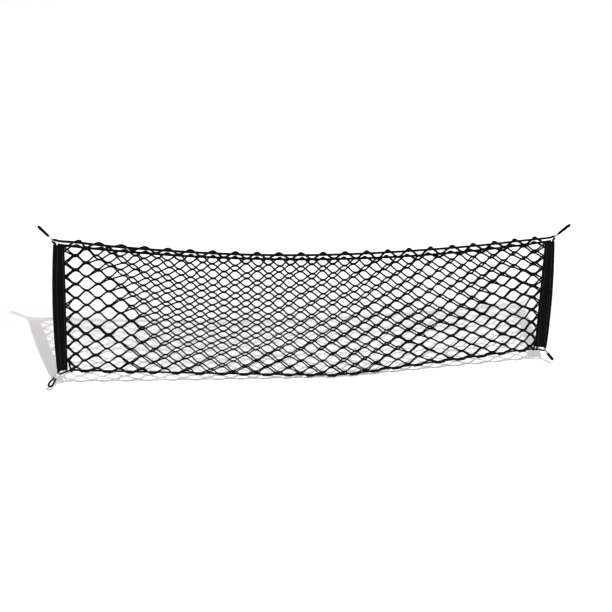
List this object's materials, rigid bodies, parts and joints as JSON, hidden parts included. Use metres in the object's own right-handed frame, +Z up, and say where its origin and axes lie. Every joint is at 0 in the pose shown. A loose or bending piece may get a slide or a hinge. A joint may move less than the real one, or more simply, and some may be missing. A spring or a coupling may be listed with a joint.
{
  "type": "cargo net",
  "caption": "Elastic cargo net that hangs across a car boot as a pocket open at the top, with corded edges, webbing ends and corner loops for hooks.",
  "frame": {"origin": "midway between the two top corners, at the height of the line the net hangs from", "axes": "+X along the net to its right end as seen from the front, -Y towards the front, +Z up"},
  "size_m": [1.1027, 0.0414, 0.3162],
  "materials": {
    "netting": "matt black elastic strands",
    "cord": "black braided elastic cord",
    "webbing": "matt black woven webbing",
    "metal": "bright pressed metal"
  },
  "bodies": {
    "root": {"front_net": "netting", "back_net": "netting", "perimeter_cord": "cord", "back_cord": "cord", "left_band": "webbing", "right_band": "webbing", "clip_top_left": "metal", "clip_top_right": "metal", "clip_low_right": "metal", "clip_low_left": "metal", "loop_top_left": "cord", "loop_top_right": "cord", "loop_low_right": "cord", "loop_low_left": "cord"}
  },
  "joints": []
}
